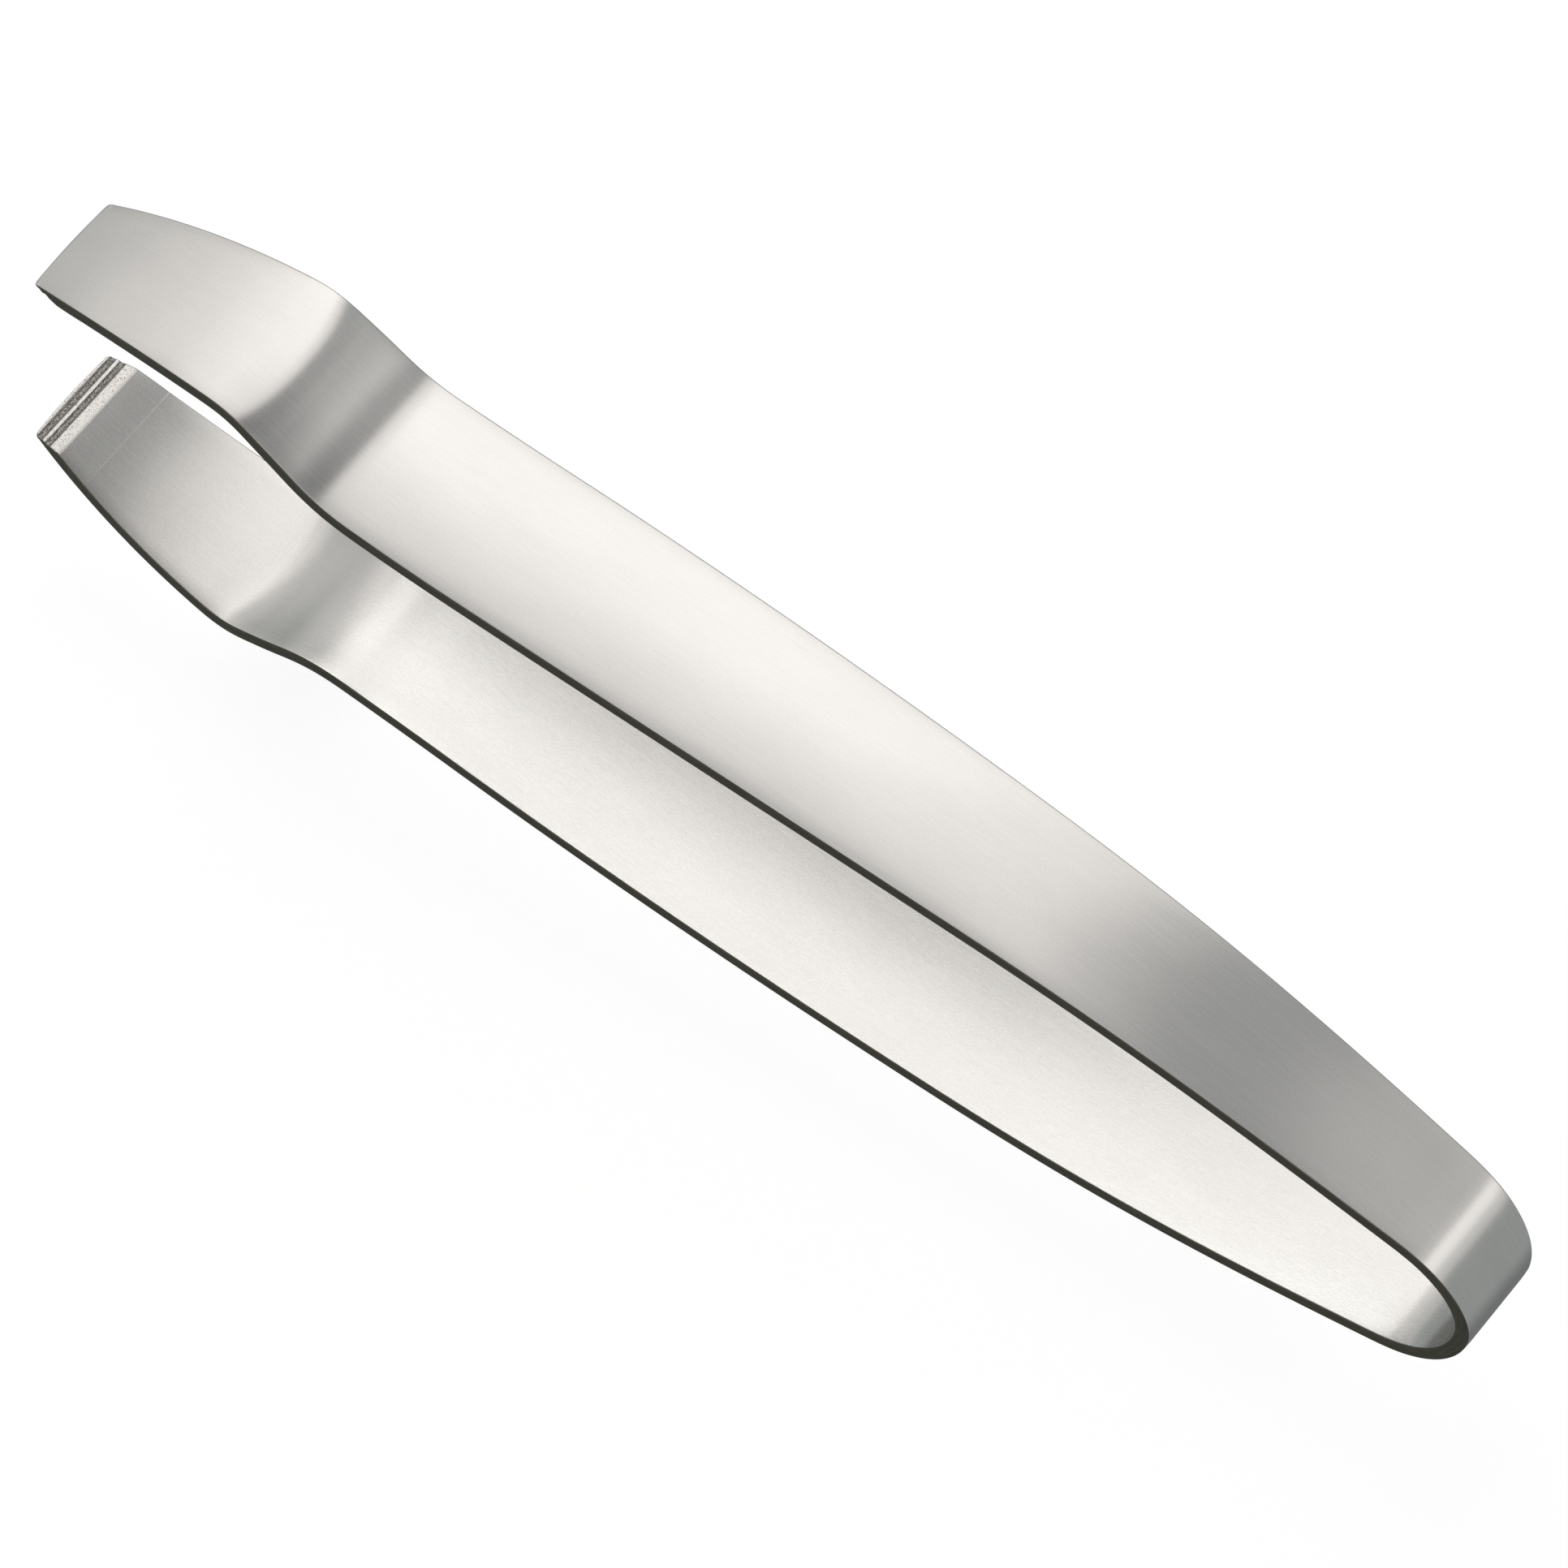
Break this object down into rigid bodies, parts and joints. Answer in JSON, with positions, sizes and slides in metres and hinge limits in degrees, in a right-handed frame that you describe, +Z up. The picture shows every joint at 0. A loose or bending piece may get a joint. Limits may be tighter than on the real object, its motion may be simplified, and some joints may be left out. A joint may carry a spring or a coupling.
{
  "type": "fish bone tweezers",
  "caption": "Strip of brushed steel bent round a spring bow into a pair of arms, with curled jaws and grooved, bevelled tips for pulling fish bones.",
  "frame": {"origin": "centre of the object's outline on the surface that it lies on", "axes": "+X from the jaws towards the bow, +Y across the strip, +Z up, away from the surface that it lies on"},
  "size_m": [0.1358, 0.0144, 0.0335],
  "materials": {
    "bow_steel": "brushed round the bow, satin grey",
    "arm_steel": "brushed along the arm, bright satin",
    "jaw_steel": "brushed along the jaw, satin, with ground grooves at the tip"
  },
  "bodies": {
    "bow": {"spring_bow": "bow_steel"},
    "upper": {"upper_arm": "arm_steel", "upper_jaw": "jaw_steel"},
    "lower": {"lower_arm": "arm_steel", "lower_jaw": "jaw_steel"}
  },
  "joints": [
    {"name": "upper_arm_flex", "type": "hinge", "parent": "bow", "child": "upper", "pos_m": [0.06008, 0, 0.0203], "axis": [0, -1, 0], "range_deg": [-1.5, 5], "stiffness_Nm_per_rad": 10},
    {"name": "lower_arm_flex", "type": "hinge", "parent": "bow", "child": "lower", "pos_m": [0.05941, 0, 0.00421], "axis": [0, 1, 0], "range_deg": [-1.5, 5], "stiffness_Nm_per_rad": 10}
  ]
}
